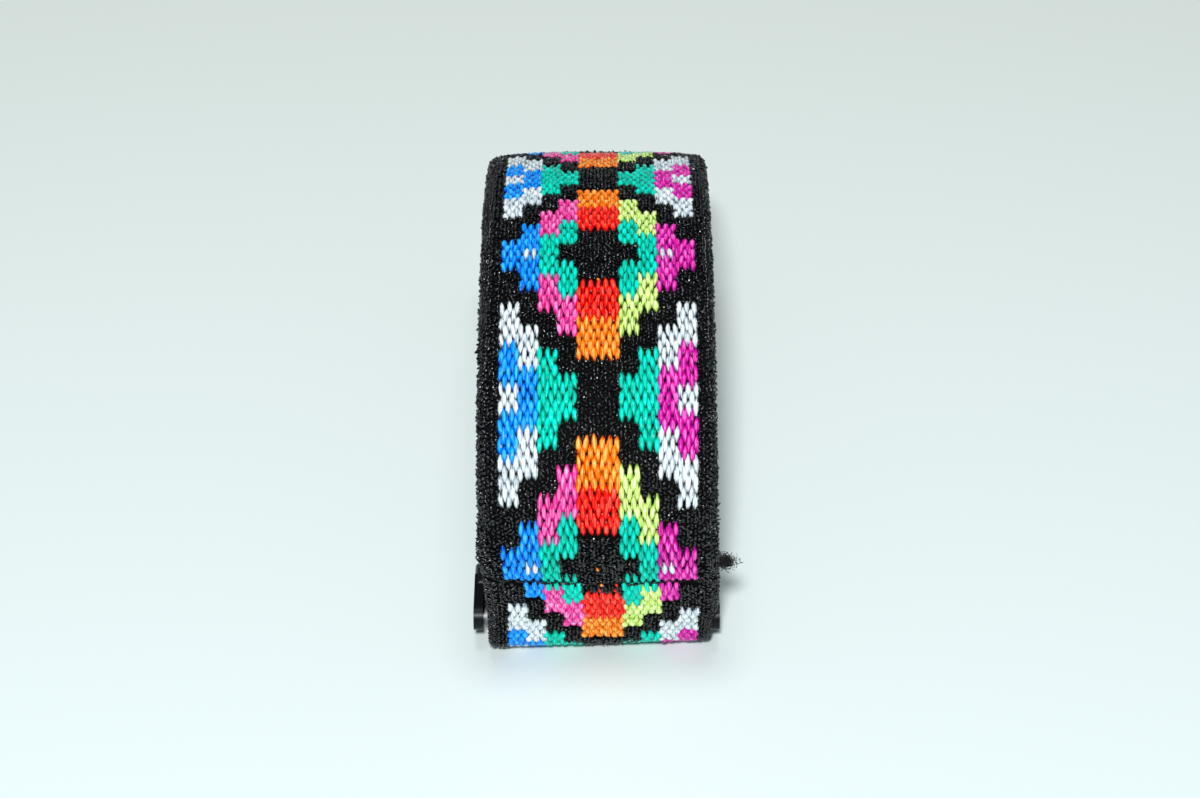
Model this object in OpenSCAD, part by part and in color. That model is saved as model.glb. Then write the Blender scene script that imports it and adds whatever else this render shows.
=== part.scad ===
// Elastic watch band: a woven jacquard elastic, folded round a spring bar and sewn at each end,
// with two steel slide-in adapters. X runs across the band, Y from the near end to the far end, and
// Z up from the undersides of the adapters, on which the loop stands.

/* [Elastic] */
// Width of the woven elastic
band_w = 25.4; // [24.8:0.1:25.8]
// Width of the sewn ends, drawn in between the adapter's ears
sewn_w = 24.7; // [24:0.1:24.7]
// Thickness of the elastic
band_t = 2; // [1.6:0.1:2]
// Thickness of the middle layer, which holds the rubber threads
core_t = 0.5; // [0.4:0.05:0.6]
// Width of each woven edge
selvedge_w = 2.1; // [1.5:0.1:3]
// Number of rubber threads
thread_count = 22; // [12:1:24]
// Side of a rubber thread, cut square
thread_size = 0.45; // [0.3:0.05:0.45]

/* [Loop] */
// Outward lean of the sewn ends, in degrees
lean = 5; // [0:1:8]
// Slope of the band where the near shoulder meets the crown, in degrees
near_slope = 25; // [20:1:30]
// Slope of the band where the crown meets the far shoulder, in degrees
far_slope = 29; // [25:1:35]
// Slope of the band where the far shoulder's tight bend starts, in degrees
far_bend_slope = 39.5; // [36:0.5:42]
// Radius of the near shoulder, at mid thickness
shoulder_r = 14.6; // [13:0.1:16]
// Radius of the crown, at mid thickness
crown_r = 51; // [48:0.5:54]

/* [Sewn ends] */
// Height of the seam above the spring bar, along the band
seam_up = 9.2; // [7.5:0.05:9.6]
// Length of the sewn end past the seam
seam_margin = 1.2; // [0.8:0.1:1.6]
// Lean of the folded-in tab towards the outer layer, in degrees
tab_lean = 14; // [12:1:16]
// Number of stitches across the band
stitch_count = 9; // [6:1:12]
// Radius of the sewing thread
stitch_r = 0.2; // [0.15:0.01:0.25]

/* [Spring bar] */
// Height of the spring bar's axis above the underside of the adapter
bar_z = 3.4; // [3.3:0.1:3.6]
// Outer radius of the tube
tube_r = 0.9; // [0.8:0.05:0.9]
// Bore radius of the tube
tube_bore_r = 0.6; // [0.55:0.05:0.6]
// Radius of a tip's nose
nose_r = 0.4; // [0.3:0.05:0.4]
// Travel of a tip
tip_travel = 1; // [0.9:0.05:1]

/* [Adapter] */
// Gap between the ears
ear_gap = 25; // [24.9:0.1:25.2]
// Thickness of an ear
ear_t = 1; // [0.9:0.1:1.2]
// Radius of an ear about the spring bar
ear_r = 1.5; // [1.4:0.1:1.7]
// Distance from the spring bar's axis to the tongue
tongue_off = 3.5; // [3.5:0.1:4]
// Thickness of the tongue
tongue_t = 3.4; // [3.4:0.1:3.8]
// Height of the tongue
tongue_h = 5.2; // [5.2:0.1:5.6]

/* [Latch] */
// Radius of the plunger's nose
plunger_r = 1.17; // [1:0.01:1.2]
// Radius of the plunger's flange
flange_r = 1.68; // [1.6:0.01:1.7]
// Thickness of the plunger's flange
flange_t = 0.5; // [0.4:0.1:0.6]
// How far the nose stands out of the tongue
plunger_out = 0.8; // [0.6:0.1:0.8]
// Thickness of the retainer disc
retainer_t = 0.6; // [0.5:0.1:0.7]

/* [Hidden] */
$fn = 180;

weave_colour = "#17171a";
back_colour = "#232328";
rubber_colour = "#3a3835";
thread_colour = "#0d0d10";
coated_steel_colour = "#2c2d30";
steel_colour = "#b9bcc0";
spring_colour = "#8f9499";

half_t = band_t / 2;
// Clearance of a running fit and of two cut faces that move
run_gap = 0.1;
flex_gap = 0.35;
// A length that passes every face of the profile, and how far a cut runs past a face
beyond = 200;
cut = 1;

// The fold round the spring bar, at mid thickness
fold_r = tube_r + run_gap + half_t;
sewn_len = seam_up + seam_margin;
// Where the outer layer's sewn end stops, measured from the spring bar's axis
sewn_top = fold_r * [-cos(lean), -sin(lean)] + sewn_len * [-sin(lean), cos(lean)];

// Centres of the loop's arcs, measured from the near sewn end's top
near_arc = shoulder_r * unit(lean);
crown_start = near_arc + shoulder_r * unit(90 + near_slope);
crown_arc = crown_start - crown_r * unit(90 + near_slope);
bend_start = crown_arc + crown_r * unit(90 - far_bend_slope);
bend_r = bend_start[1] / (cos(far_bend_slope) + sin(lean));
bend_arc = bend_start - bend_r * unit(90 - far_bend_slope);
span = bend_arc[0] + bend_r * cos(lean);

// The same points in the row's frame, whose middle lies halfway between the two ends
near_top = [-span / 2, bar_z + sewn_top[1]];
near_c = near_top + near_arc;
crown_c = near_top + crown_arc;
bend_c = near_top + bend_arc;
bar_y = span / 2 + sewn_top[0];
apex = crown_c + [0, crown_r];
flex_gap_a = asin((half_t + flex_gap) / crown_r);
// A small overlap that makes two tangent arcs one solid
join_a = 0.1;

core_w = band_w - 2 * selvedge_w;
thread_pitch = core_w / thread_count;

stitch_pitch = sewn_w / (stitch_count + 1);
leg_r = 0.14;
seam_out = -fold_r - half_t;
seam_in = fold_r / cos(tab_lean) - seam_up * tan(tab_lean) + half_t;

ear_x = ear_gap / 2 + ear_t / 2;
tongue_len = ear_gap + 2 * ear_t;
tongue_y = -bar_y + tongue_off + tongue_t / 2;
edge_r = 0.6;
end_r = 1;

tube_play = 0.2;
tube_len = ear_gap - 2 * tube_play;
lip_len = 0.4;
tip_clear = 0.05;
tip_shaft_r = tube_bore_r - tip_clear;
tip_shaft_len = 3;
tip_shoulder = tube_len / 2 - lip_len;
// A tip pressed in by its full travel ends inside the tube
nose_len = lip_len + tip_travel - tube_play;
hole_clear = 0.05;
ear_hole_depth = 0.7;
bar_spring_len = 2 * (tip_shoulder - tip_shaft_len);
bar_spring_wall = 0.25;

latch_z = tongue_h / 2;
latch_clear = 0.07;
latch_back = -bar_y + tongue_off;
latch_face = latch_back + tongue_t;
chamber_depth = 2.5;
latch_spring_r = 1.4;
latch_spring_wall = 0.35;
// The plunger's nose ends in a dome, whose rim lies halfway down the part that stands out
dome_h = plunger_out / 2;
dome_r = (plunger_r * plunger_r + dome_h * dome_h) / (2 * dome_h);

function unit(a) = [cos(a), sin(a)];

// The loop is drawn in side view, with Y to the right and Z up, and extruded across the band
module side_view() rotate([90, 0, 90]) children();

module across(w) side_view() linear_extrude(height = w, center = true) children();

module at_far() mirror([0, 1, 0]) children();

module ring_sector(r_in, r_out, a0, a1) {
    reach = 2 * r_out;
    intersection() {
        difference() {
            circle(r_out);
            circle(r_in);
        }
        polygon([[0, 0], reach * unit(a0), reach * unit((a0 + a1) / 2), reach * unit(a1)]);
    }
}

// A stretch of the elastic on an arc, between two distances from mid thickness
module strap_arc(centre, r, a0, a1, low, high)
    translate(centre) ring_sector(r + low, r + high, a0, a1);

module near_crown_side(low, high)
    strap_arc(crown_c, crown_r, 90, 90 + near_slope, low, high);

module far_crown_side(low, high)
    strap_arc(crown_c, crown_r, 90 - far_slope, 90 - flex_gap_a, low, high);

module round_rect(w, h, r) {
    square([w - 2 * r, h], center = true);
    square([w, h - 2 * r], center = true);
    for (x = [-1, 1], y = [-1, 1])
        translate([x * (w / 2 - r), y * (h / 2 - r)]) circle(r);
}

// The near crown ends in a round knuckle, about which the far crown flexes
module near_crown_face()
    color(weave_colour) across(band_w) {
        near_crown_side(core_t / 2, half_t);
        intersection() {
            translate(apex) circle(half_t);
            translate(apex - [0, half_t]) square(band_t);
        }
    }

module far_crown_face()
    color(weave_colour) across(band_w) far_crown_side(core_t / 2, half_t);

// The back weave carries both selvedges, and leaves a channel for the rubber threads
module near_crown_back()
    color(back_colour) difference() {
        across(band_w) near_crown_side(-half_t, core_t / 2);
        across(core_w) near_crown_side(-core_t / 2, half_t);
    }

module far_crown_back()
    color(back_colour) difference() {
        across(band_w) far_crown_side(-half_t, core_t / 2);
        across(core_w) far_crown_side(-core_t / 2, half_t);
    }

module thread_row()
    for (i = [0 : thread_count - 1])
        translate([(i - (thread_count - 1) / 2) * thread_pitch, 0, 0])
            across(thread_size) children();

module near_crown_threads()
    color(rubber_colour) thread_row() near_crown_side(-thread_size / 2, thread_size / 2);

module far_crown_threads()
    color(rubber_colour) thread_row() far_crown_side(-thread_size / 2, thread_size / 2);

module near_shoulder()
    color(weave_colour) across(band_w)
        strap_arc(near_c, shoulder_r, 90 + near_slope, 180 + lean, -half_t, half_t);

module far_shoulder()
    color(weave_colour) across(band_w) {
        strap_arc(crown_c, crown_r, 90 - far_bend_slope, 90 - far_slope, -half_t, half_t);
        strap_arc(bend_c, bend_r, -lean, 90 - far_bend_slope + join_a, -half_t, half_t);
    }

// Places what is drawn about the near spring bar, upright, with the strap's lean
module about_near_bar() translate([-bar_y, bar_z, 0]) rotate(lean) children();

module fold() {
    reach = 2 * fold_r + band_t;
    steps = 4;
    difference() {
        circle(fold_r + half_t);
        circle(fold_r - half_t);
        polygon([[0, 0], for (i = [0 : steps]) reach * unit(tab_lean + i * (180 - tab_lean) / steps)]);
    }
}

module sewn_end()
    color(weave_colour) across(sewn_w) about_near_bar() {
        translate([-fold_r - half_t, 0]) square([band_t, sewn_len]);
        fold();
        intersection() {
            rotate(tab_lean) translate([fold_r - half_t, 0]) square([band_t, beyond]);
            translate([-fold_r, 0]) square([beyond, sewn_len]);
        }
    }

module near_sewn_end() sewn_end();

module far_sewn_end() at_far() sewn_end();

// One row of lock stitches: a dash on each face between legs that go through both layers
module seam()
    color(thread_colour) side_view() about_near_bar() translate([0, seam_up, 0]) {
        for (i = [0 : stitch_count - 1], side = [seam_out, seam_in])
            translate([side, 0, (i - (stitch_count - 1) / 2) * stitch_pitch])
                cylinder(r = stitch_r, h = stitch_pitch - leg_r, center = true);
        for (i = [0 : stitch_count])
            translate([seam_out, 0, (i - stitch_count / 2) * stitch_pitch])
                rotate([0, 90, 0]) cylinder(r = leg_r, h = seam_in - seam_out);
    }

module near_seam() seam();

module far_seam() at_far() seam();

module tongue()
    intersection() {
        across(tongue_len) translate([tongue_y, tongue_h / 2]) round_rect(tongue_t, tongue_h, edge_r);
        translate([0, 0, tongue_h / 2]) rotate([90, 0, 0])
            linear_extrude(height = beyond, center = true) round_rect(tongue_len, tongue_h, end_r);
    }

module ear()
    across(ear_t) translate([-bar_y, bar_z]) {
        circle(ear_r);
        translate([0, -ear_r]) square([tongue_off + tongue_t / 2, 2 * ear_r]);
    }

// A cylinder along Y, from one distance to another
module along_y(r, y0, y1)
    translate([0, y0, latch_z]) rotate([-90, 0, 0]) cylinder(r = r, h = y1 - y0);

// A cylinder along the spring bar's axis, from one distance to another
module along_bar(r, x0, x1)
    translate([x0, -bar_y, bar_z]) rotate([0, 90, 0]) cylinder(r = r, h = x1 - x0);

module adapter()
    color(coated_steel_colour) difference() {
        union() {
            tongue();
            for (side = [-1, 1]) translate([side * ear_x, 0, 0]) ear();
        }
        along_y(flange_r + latch_clear, latch_back - cut, latch_back + chamber_depth);
        along_y(plunger_r + latch_clear, latch_back, latch_face + cut);
        along_bar(nose_r + hole_clear, -ear_gap / 2 - ear_hole_depth, ear_gap / 2 + ear_hole_depth);
    }

module near_adapter() adapter();

module far_adapter() at_far() adapter();

module latch_plunger()
    color(steel_colour) {
        along_y(flange_r, latch_back + chamber_depth - flange_t, latch_back + chamber_depth);
        along_y(plunger_r, latch_back + chamber_depth - flange_t, latch_face + plunger_out - dome_h);
        translate([0, latch_face + plunger_out - dome_h, latch_z]) rotate([-90, 0, 0])
            rotate_extrude() intersection() {
                translate([0, dome_h - dome_r]) circle(dome_r);
                square([plunger_r, dome_h]);
            }
    }

module near_latch_plunger() latch_plunger();

module far_latch_plunger() at_far() latch_plunger();

module latch_spring()
    color(spring_colour) difference() {
        along_y(latch_spring_r, latch_back + retainer_t, latch_back + chamber_depth - flange_t);
        along_y(latch_spring_r - latch_spring_wall, latch_back, latch_back + chamber_depth);
    }

module near_latch_spring() latch_spring();

module far_latch_spring() at_far() latch_spring();

module latch_retainer()
    color(coated_steel_colour) along_y(flange_r + latch_clear, latch_back, latch_back + retainer_t);

module near_latch_retainer() latch_retainer();

module far_latch_retainer() at_far() latch_retainer();

module bar_tube()
    color(steel_colour) difference() {
        along_bar(tube_r, -tube_len / 2, tube_len / 2);
        along_bar(tube_bore_r, -tip_shoulder, tip_shoulder);
        along_bar(nose_r + hole_clear, -tube_len, tube_len);
    }

module near_bar_tube() bar_tube();

module far_bar_tube() at_far() bar_tube();

module bar_spring()
    color(spring_colour) difference() {
        along_bar(tip_shaft_r, -bar_spring_len / 2, bar_spring_len / 2);
        along_bar(tip_shaft_r - bar_spring_wall, -tube_len / 2, tube_len / 2);
    }

module near_bar_spring() bar_spring();

module far_bar_spring() at_far() bar_spring();

module bar_tip()
    color(steel_colour) {
        along_bar(tip_shaft_r, tip_shoulder - tip_shaft_len, tip_shoulder);
        along_bar(nose_r, tip_shoulder - tip_shaft_len, tip_shoulder + nose_len);
    }

module near_bar_tip_right() bar_tip();

module near_bar_tip_left() mirror([1, 0, 0]) bar_tip();

module far_bar_tip_right() at_far() bar_tip();

module far_bar_tip_left() at_far() mirror([1, 0, 0]) bar_tip();

near_crown_face();
near_crown_threads();
near_crown_back();
near_shoulder();
far_crown_face();
far_crown_threads();
far_crown_back();
far_shoulder();
near_sewn_end();
near_seam();
far_sewn_end();
far_seam();
near_adapter();
near_latch_plunger();
near_latch_spring();
near_latch_retainer();
near_bar_tube();
near_bar_spring();
near_bar_tip_left();
near_bar_tip_right();
far_adapter();
far_latch_plunger();
far_latch_spring();
far_latch_retainer();
far_bar_tube();
far_bar_spring();
far_bar_tip_left();
far_bar_tip_right();
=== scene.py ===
import math

import bpy
import numpy as np
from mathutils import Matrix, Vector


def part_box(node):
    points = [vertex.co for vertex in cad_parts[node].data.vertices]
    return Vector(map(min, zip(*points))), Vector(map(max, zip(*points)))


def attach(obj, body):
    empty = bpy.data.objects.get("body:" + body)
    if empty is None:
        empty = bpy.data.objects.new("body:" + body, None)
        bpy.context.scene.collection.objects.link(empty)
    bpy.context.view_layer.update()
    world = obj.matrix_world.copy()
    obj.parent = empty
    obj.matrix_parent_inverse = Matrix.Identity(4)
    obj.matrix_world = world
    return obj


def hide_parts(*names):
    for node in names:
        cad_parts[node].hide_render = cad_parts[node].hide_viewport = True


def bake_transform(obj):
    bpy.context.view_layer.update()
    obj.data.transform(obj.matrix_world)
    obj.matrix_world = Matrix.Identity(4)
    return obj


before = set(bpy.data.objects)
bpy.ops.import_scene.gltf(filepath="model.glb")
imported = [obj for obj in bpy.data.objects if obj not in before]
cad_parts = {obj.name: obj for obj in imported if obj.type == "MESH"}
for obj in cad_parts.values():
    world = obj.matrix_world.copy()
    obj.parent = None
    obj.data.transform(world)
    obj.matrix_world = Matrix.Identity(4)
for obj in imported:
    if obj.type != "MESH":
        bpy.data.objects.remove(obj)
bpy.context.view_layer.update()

# Elastic watch band: a woven jacquard elastic, folded round a spring bar and sewn at each end.
# Lengths are in millimetres until a mesh is written, which turns them to metres.

mm = 0.001             # in metres
chance = np.random.default_rng(38)


def deselectAll():
    if bpy.context.mode != "OBJECT":
        bpy.ops.object.mode_set(mode="OBJECT")
    bpy.ops.object.select_all(action="DESELECT")


def hexToLinear(text):
    # sRGB hex to the linear colour that a shader takes
    channels = [int(text[i:i + 2], 16) / 255 for i in (1, 3, 5)]
    linear = [c / 12.92 if c <= 0.04045 else ((c + 0.055) / 1.055) ** 2.4 for c in channels]
    return (*linear, 1)


def ramp(value, low, high):
    # 0 below low, 1 above high, smooth between
    t = np.clip((value - low) / (high - low), 0, 1)
    return t * t * (3 - 2 * t)


def within(value, rise, fall):
    # 1 from the end of the rise to the start of the fall, 0 outside them, smooth between
    return ramp(value, *rise) * (1 - ramp(value, *fall))


def bell(value, middle, half):
    return np.exp(-((value - middle) / half) ** 2)


# The loop in side view, walked from the end of the near folded-in tab, over the crown, to the far tab's end
loop = {
    "lean": 5.0,          # outward lean of the sewn ends, degrees
    "nearSlope": 25.0,    # slope where the near shoulder meets the crown
    "farSlope": 29.0,     # slope where the crown meets the far shoulder
    "bendSlope": 39.5,    # slope where the far shoulder's tight bend starts
    "shoulderR": 14.6,    # radii at mid thickness
    "crownR": 51.0,
    "foldR": 2.0,
    "tabLean": 14.0,      # lean of the tab towards the outer layer
    "seamUp": 9.2,        # seam above the spring bar, along the band
    "seamMargin": 1.2,    # sewn end past the seam
}


def unit(degrees):
    a = math.radians(degrees)
    return np.array([math.cos(a), math.sin(a)])


def barAxis(end):
    low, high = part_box(end + "_bar_tube")
    middle = (low + high) / 2 / mm
    return np.array([middle.y, middle.z])


def arcLength(radius, degrees):
    return radius * math.radians(degrees)


def stretchesOfBand():
    # length and turn in degrees of each straight and arc
    lean = loop["lean"]
    tabLean = loop["tabLean"]
    sewn = loop["seamUp"] + loop["seamMargin"]
    foldTurn = 180 + tabLean
    fold = (arcLength(loop["foldR"], foldTurn), -foldTurn)
    tab = ((sewn - loop["foldR"] * unit(tabLean)[1]) / unit(tabLean)[0], 0)
    shoulderTurn = 90 + lean - loop["nearSlope"]
    crownTurn = loop["nearSlope"] + loop["bendSlope"]
    shoulderTop = loop["shoulderR"] * (unit(lean) + unit(90 + loop["nearSlope"]))
    bendTop = shoulderTop + loop["crownR"] * (unit(90 - loop["bendSlope"]) - unit(90 + loop["nearSlope"]))
    bendR = bendTop[1] / (unit(loop["bendSlope"])[0] + unit(lean)[1])
    bendTurn = 90 + lean - loop["bendSlope"]
    return [
        tab, fold, (sewn, 0),
        (arcLength(loop["shoulderR"], shoulderTurn), -shoulderTurn),
        (arcLength(loop["crownR"], crownTurn), -crownTurn),
        (arcLength(bendR, bendTurn), -bendTurn),
        (sewn, 0), fold, tab,
    ]


def advance(y, z, heading, bend, distance):
    # along a straight where bend is 0, or an arc of that bend in radians a millimetre
    if abs(bend) < 1e-9:
        return y + distance * np.cos(heading), z + distance * np.sin(heading)
    ahead = heading + bend * distance
    return y + (np.sin(ahead) - np.sin(heading)) / bend, z - (np.cos(ahead) - np.cos(heading)) / bend


stretches = stretchesOfBand()
tabLength = stretches[0][0]
foldLength = stretches[1][0]
barLevel = tabLength + foldLength


def walkBand():
    # where each stretch starts: distance from the near bar's level, y, z, heading and bend
    tilt = loop["lean"] + loop["tabLean"]
    y, z = barAxis("near") + loop["foldR"] * unit(tilt) + tabLength * unit(tilt + 90)
    heading = math.radians(tilt - 90)
    distance = -barLevel
    starts = []
    for length, turn in stretches:
        bend = math.radians(turn) / length
        starts.append((distance, y, z, heading, bend))
        y, z = advance(y, z, heading, bend, length)
        heading += math.radians(turn)
        distance += length
    return starts, distance


starts, bandEnd = walkBand()
bandStart = -barLevel
loopLength = bandEnd + bandStart
crownStart = starts[4][0]
apexAt = crownStart + arcLength(loop["crownR"], loop["nearSlope"])
crownEnd = apexAt + arcLength(loop["crownR"], loop["farSlope"])
nearSewnTop = starts[3][0]
farSewnTop = starts[6][0]
print("band path:", round(loopLength, 1), "mm between the bars' levels,",
      round(bandEnd - bandStart, 1), "mm of elastic")


def pathAt(s):
    # y, z and heading of the band's mid thickness at distances s
    s = np.asarray(s, float)
    y, z, heading = np.zeros_like(s), np.zeros_like(s), np.zeros_like(s)
    for i, (begin, y0, z0, heading0, bend) in enumerate(starts):
        here = s >= begin if i else np.ones_like(s, bool)
        y1, z1 = advance(y0, z0, heading0, bend, s - begin)
        y = np.where(here, y1, y)
        z = np.where(here, z1, z)
        heading = np.where(here, heading0 + bend * (s - begin), heading)
    return y, z, heading


# The section of the elastic: flat at the seams, and crowned from a shoulder's middle on
section = {
    "width": 25.5,
    "edgeR": 0.9,          # rounding of the selvedges
    "crownLift": 0.65,     # the middle of the band stands this much proud over the crown
    "leftDrop": 0.8,       # and its edges curl down by this much
    "rightDrop": 0.5,
    "curl": 4,             # power of the distance across by which they curl
    "curlEnd": 1.1,        # where that stops, in half widths
    "liftFrom": 0.5,       # the crowning starts this far above a seam
    "liftFull": 14,        # and is full from here on
}
# The line of stitches draws the elastic in and parts its weave
seamForm = {
    "grooveDepth": 0.4,    # share of the thickness that it draws in
    "grooveHalf": 0.32,
    "sag": 0.8,            # it bows towards the bar by this much in its middle
    "gap": 0.09,           # half the gap that the thread leaves in the weave
    "wave": 0.07,          # the gap wanders by this much
    "waveTurn": 5.2,       # in waves of this many radians a millimetre
    "reach": 1.6,          # it parts the pieces whose middle is nearer than this
}
# How each folded end was pulled about as it was sewn. A row of the outline is the distance from the end's
# bar level, the left edge, the right edge, the middle of the pattern and the pattern's scale. slack lets the
# fold hang on the left, yaw turns the fold on its bar, and skew lowers its rows on the right.
ends = {
    "near": {"outline": [(2, -11.8, 12.6, 0.7, 0.972), (4, -11.9, 13.2, 0.8, 0.972),
                         (9.2, -12.25, 13.15, 0.5, 0.975), (12, -12.85, 13.1, 0.27, 0.98),
                         (17, -12.65, 12.9, 0.2, 0.99), (27, -12.75, 12.75, 0.17, 1)],
             "slack": 0.5, "yaw": 0.25, "skew": 0.04},
    "far": {"outline": [(2, -12.4, 12.1, -0.1, 0.98), (4.5, -12.7, 12.5, -0.05, 0.98),
                        (9.2, -12.75, 12.55, 0, 0.99), (12, -12.9, 12.85, 0.1, 1),
                        (20, -12.75, 12.75, 0.17, 1)],
            "slack": 0.15, "yaw": -0.15, "skew": 0.02},
}
# Where those come in and die out, as distances from the end's bar level
folds = {
    "skewIn": (-6, -2), "skewOut": (4, loop["seamUp"] - 0.5),
    "hangIn": (-6, -3), "hangOut": (1, 6),     # of slack and yaw
    "slackMiddle": 0.2,    # share of the slack that hangs in the middle of the width
    "tabOff": 0.3,         # the tab ends this much further off the outer layer than it leans
    "tabOffBefore": 1.0,   # and reaches that this far before its end
}
halfBand = section["width"] / 2
halfPattern = 10.6         # half the width that keeps its proportions where the edges are pulled
tabAlong, tabAcross = unit(loop["tabLean"])
tabSeamAt = -foldLength - (loop["seamUp"] - loop["foldR"] * tabAcross) / tabAlong
seamMarks = (loop["seamUp"], tabSeamAt)    # of the seam on the outer layer and on the tab


def alongEnd(s, end):
    # distance from an end's bar level, growing towards the crown
    return s if end == "near" else loopLength - s


def pulledAt(s, column):
    # one column of the outlines, at distances s
    near, far = (np.interp(alongEnd(s, end), [row[0] for row in pull["outline"]],
                           [row[column] for row in pull["outline"]]) for end, pull in ends.items())
    return np.where(np.asarray(s) < loopLength / 2, near, far)


def acrossAt(x, s):
    # the pattern keeps nearly its own width, and the selvedges take up the pull on the edges
    left, right, middle, scale = (pulledAt(s, column) for column in (1, 2, 3, 4))
    past = np.maximum(np.abs(x) - halfPattern, 0) / (halfBand - halfPattern)
    edge = np.where(x < 0, left, right)
    patternEdge = middle + scale * np.sign(x) * halfPattern
    return middle + scale * np.clip(x, -halfPattern, halfPattern) + past * (edge - patternEdge)


def aboveSeam(s):
    return np.minimum(alongEnd(s, "near"), alongEnd(s, "far")) - loop["seamUp"]


def liftAt(x, s):
    across = np.minimum(np.abs(x) / halfBand, section["curlEnd"])
    drop = np.where(np.asarray(x) < 0, section["leftDrop"], section["rightDrop"])
    crowned = ramp(aboveSeam(s), section["liftFrom"], section["liftFull"])
    return crowned * (section["crownLift"] - drop * across ** section["curl"])


def seamLine(x, at):
    # a row of stitches that was marked at that distance along an end
    return at - math.copysign(1, at) * seamForm["sag"] * (1 - (x / halfBand) ** 2)


def partedAt(x, middle, s):
    # the seam's thread parts the weave: nothing that lies on one side of it crosses over
    for end in ends:
        for at in seamMarks:
            line = alongEnd(seamLine(x, at) + seamForm["wave"] * np.sin(x * seamForm["waveTurn"]), end)
            side = np.where(middle > line, 1, -1)
            close = (np.abs(middle - line) < seamForm["reach"]) & ((s - line) * side < seamForm["gap"])
            s = np.where(close, line + side * seamForm["gap"], s)
    return s


def grooveAt(x, s):
    lines = [(alongEnd(s, end), seamLine(x, at)) for end in ends for at in seamMarks]
    return seamForm["grooveDepth"] * sum(bell(along, at, seamForm["grooveHalf"]) for along, at in lines)


def tabShiftAt(s):
    # the folded-in tab stands a little off the outer layer as it nears the seam, so that their yarns clear
    beyond = np.maximum(-s, s - loopLength)
    return folds["tabOff"] * ramp(beyond, foldLength, barLevel - folds["tabOffBefore"])


def layOnBand(x, s, n):
    # x across the band for its nominal width, s along it, n out from mid thickness; returns metres
    for end, pull in ends.items():
        along = alongEnd(s, end)
        skewed = within(along, folds["skewIn"], folds["skewOut"])
        s = alongEnd(along - pull["skew"] * x * skewed, end)
    y, z, heading = pathAt(s)
    out = n * (1 - grooveAt(x, s)) + liftAt(x, s) + tabShiftAt(s)
    turned = 0
    for end, pull in ends.items():
        folded = within(alongEnd(s, end), folds["hangIn"], folds["hangOut"])
        out = out + pull["slack"] * (folds["slackMiddle"] - x / section["width"]) * folded
        turned = turned + pull["yaw"] * x / halfBand * folded
    y = y + turned - out * np.sin(heading)
    z = z + out * np.cos(heading)
    return np.stack([acrossAt(x, s), y, z], axis=-1) * mm


def spotOnBand(x, s, n):
    return layOnBand(np.array(x), np.array(s), np.array(n))


# The weave: floats stand in half-columns, every other one in each row, shifted by one in the next row
weave = {
    "halfColumn": 0.415,
    "columns": 51,         # half-columns of the pattern
    "border": 6,           # half-columns of each selvedge
    "period": 38,          # rows in one repeat
    # how far the rows are stretched apart: row number and distance from the near bar's level
    "marks": [(-74.5, 111.4), (-61.5, 104.4), (-49.5, 95.4), (-33, 79.2), (-23.5, 69.4), (-9.5, 57.7),
              (0, 49.0), (19, 29.4), (33.5, 15.45), (38, 10.8), (40, 9.1), (41, 8.05), (42.5, 6.85),
              (47.5, 3.0), (52.5, -0.1), (65.3, -6.9)],
    "sewnPitch": 0.75,     # millimetres a row in the sewn ends
    "openPitch": 0.98,     # and where the band is stretched
}

# Yarn of each column, from the left edge to the middle, by rows from the middle of a diamond: the last row
# of each band of colour. The right half mirrors the left, with other yarns for two of its colours.
steppedDiamond = [
    [(2, "blue"), (7, "black"), (12, "white"), (17, "blue"), (19, "white")],
    [(5, "blue"), (10, "black"), (15, "white"), (19, "blue")],
    [(3, "teal"), (8, "rose"), (13, "black"), (19, "teal")],
    [(1, "black"), (6, "teal"), (11, "rose"), (16, "black"), (19, "teal")],
    [(4, "black"), (9, "red"), (14, "orange"), (19, "black")],
]
columnEnds = [5, 10, 15, 20, 31, 36, 41, 46, 51]
rightYarns = {"blue": "magenta", "rose": "lime"}
eyeColumn = 1              # the column with a pair of white floats in the middle row of each diamond


def rowToDistance(row):
    rows = [m[0] for m in weave["marks"]]
    distances = [m[1] for m in weave["marks"]]
    inside = np.interp(row, rows, distances)
    past = np.maximum(row - rows[-1], 0) * weave["sewnPitch"]
    before = np.maximum(rows[0] - row, 0) * weave["sewnPitch"]
    return float(inside - past + before)


def rowPitch(row):
    return rowToDistance(row - 0.5) - rowToDistance(row + 0.5)


def yarnAt(halfColumn, row):
    column = next(i for i, stop in enumerate(columnEnds) if halfColumn < stop)
    middle = len(steppedDiamond) - 1
    onRight = column > middle
    mirrored = 2 * middle - column if onRight else column
    period = weave["period"]
    fromMiddle = abs((row + period / 2) % period - period / 2)
    if mirrored == eyeColumn and fromMiddle == 0 and halfColumn % 2 == 0:
        return "white"
    yarn = next(name for last, name in steppedDiamond[mirrored] if fromMiddle <= last)
    return rightYarns.get(yarn, yarn) if onRight else yarn


def inPattern(halfColumn):
    return 0 <= halfColumn < weave["columns"]


def hasFloat(halfColumn, row):
    if not inPattern(halfColumn) or (halfColumn + row) % 2:
        return False
    return yarnAt(halfColumn, row) != "black"


def followedBelow(halfColumn, row):
    # the next row's floats lie over the lower end of this one
    return hasFloat(halfColumn - 1, row + 1) or hasFloat(halfColumn + 1, row + 1)


def xOf(halfColumn):
    return (halfColumn - (weave["columns"] - 1) / 2) * weave["halfColumn"]


firstRow = math.floor(weave["marks"][0][0] - (bandEnd - weave["marks"][0][1]) / weave["sewnPitch"]) + 1
lastRow = math.ceil(weave["marks"][-1][0] + (weave["marks"][-1][1] - bandStart) / weave["sewnPitch"]) - 1

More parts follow.
